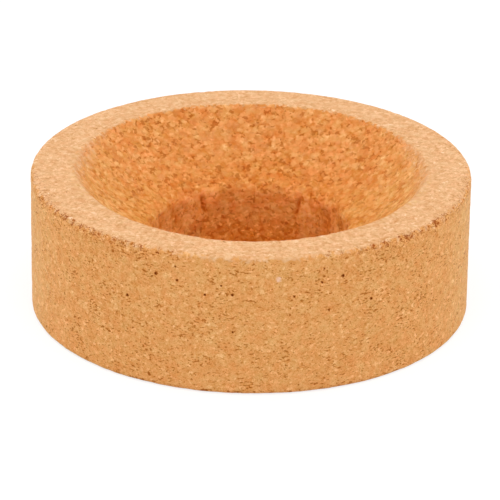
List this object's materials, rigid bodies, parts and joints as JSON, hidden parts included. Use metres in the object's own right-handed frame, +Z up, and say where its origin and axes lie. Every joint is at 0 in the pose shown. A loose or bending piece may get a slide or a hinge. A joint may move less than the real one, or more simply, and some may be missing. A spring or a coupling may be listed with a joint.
{
  "type": "cork ring",
  "caption": "Ring of pressed ground cork with a dished top and a bore through it, which holds a round-bottomed flask upright.",
  "frame": {"origin": "centre of the base, on the surface that the ring stands on", "axes": "+Z up along the ring's axis; +X and +Y lie in the base, and any turn about +Z is the same ring"},
  "size_m": [0.08, 0.08, 0.026],
  "materials": {
    "cork": "matte"
  },
  "bodies": {
    "root": {"cork_ring": "cork"}
  },
  "joints": []
}
